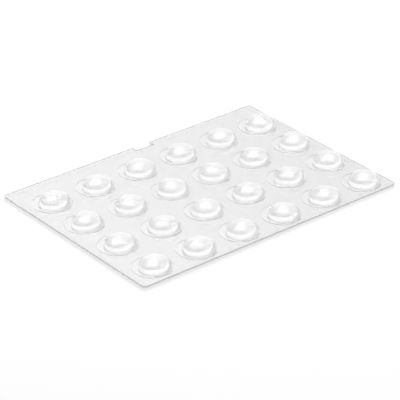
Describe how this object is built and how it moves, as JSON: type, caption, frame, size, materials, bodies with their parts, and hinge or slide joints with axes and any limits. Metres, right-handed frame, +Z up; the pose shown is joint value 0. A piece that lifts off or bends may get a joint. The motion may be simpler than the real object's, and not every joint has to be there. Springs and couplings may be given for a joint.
{
  "type": "sheet of cabinet door bumpers",
  "caption": "Clear self-adhesive domed cabinet door bumpers in rows on a thin clear sheet with a release liner and a small notch in one long edge.",
  "frame": {"origin": "middle of the release liner's underside, on the surface that the sheet lies on", "axes": "+X along the long edges, +Y to the edge with the notch, +Z up through the domes"},
  "size_m": [0.099, 0.0704, 0.0044],
  "materials": {
    "bumper": "clear cast polyurethane, soft and glossy",
    "web": "clear polyurethane sheet, smooth",
    "liner": "clear polyester film, glossy"
  },
  "bodies": {
    "root": {"release_liner": "liner", "waste_web": "web", "bumper_r1_c1": "bumper", "bumper_r1_c2": "bumper", "bumper_r1_c3": "bumper", "bumper_r1_c4": "bumper", "bumper_r1_c5": "bumper", "bumper_r1_c6": "bumper", "bumper_r2_c1": "bumper", "bumper_r2_c2": "bumper", "bumper_r2_c3": "bumper", "bumper_r2_c4": "bumper", "bumper_r2_c5": "bumper", "bumper_r2_c6": "bumper", "bumper_r3_c1": "bumper", "bumper_r3_c2": "bumper", "bumper_r3_c3": "bumper", "bumper_r3_c4": "bumper", "bumper_r3_c5": "bumper", "bumper_r3_c6": "bumper", "bumper_r4_c1": "bumper", "bumper_r4_c2": "bumper", "bumper_r4_c3": "bumper", "bumper_r4_c4": "bumper", "bumper_r4_c5": "bumper", "bumper_r4_c6": "bumper"}
  },
  "joints": []
}
